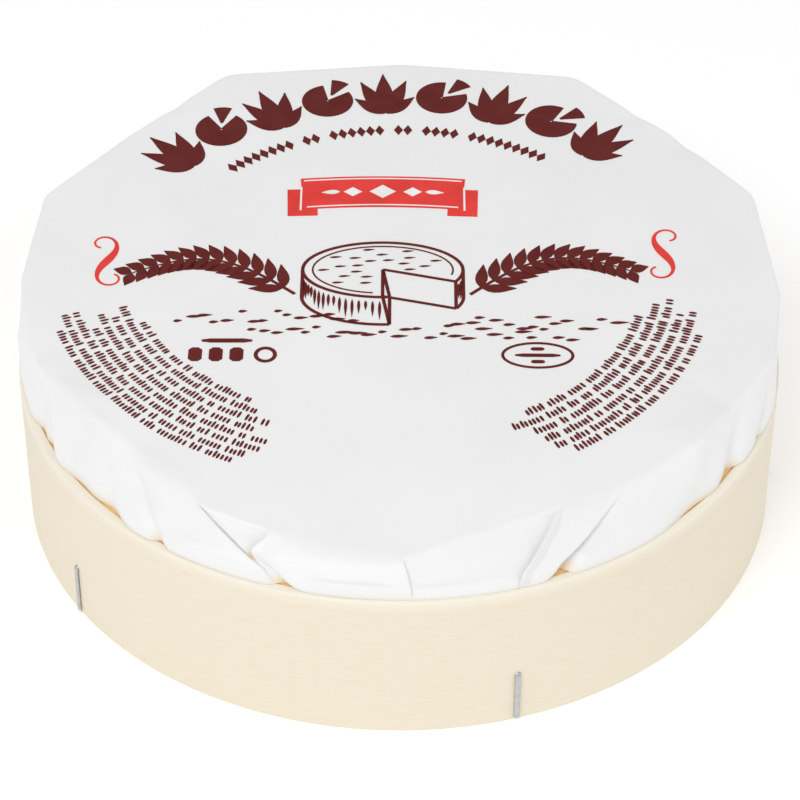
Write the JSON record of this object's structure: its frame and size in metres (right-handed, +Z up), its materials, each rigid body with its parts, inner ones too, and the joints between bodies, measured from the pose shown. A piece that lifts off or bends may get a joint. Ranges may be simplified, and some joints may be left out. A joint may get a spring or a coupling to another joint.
{
  "type": "camembert",
  "caption": "Round soft cheese in folded waxed paper with a plain printed pattern, seated in the stapled bottom hoop of its wooden box.",
  "frame": {"origin": "on the standing surface, under the middle of the wooden hoop", "axes": "+Z up out of the box, -Y the side with the paper's main pleats, which is the front"},
  "size_m": [0.1148, 0.114, 0.0388],
  "materials": {
    "waxed_paper": "waxed white paper with a printed pattern in brown and red",
    "poplar_veneer": "raw pale veneer, fine straight grain",
    "staple_wire": "bright galvanised wire"
  },
  "bodies": {
    "root": {"wrapped_cheese": "waxed_paper", "wood_hoop": "poplar_veneer", "wood_base": "poplar_veneer", "staple_1": "staple_wire", "staple_2": "staple_wire", "staple_3": "staple_wire", "staple_4": "staple_wire", "staple_5": "staple_wire"}
  },
  "joints": []
}
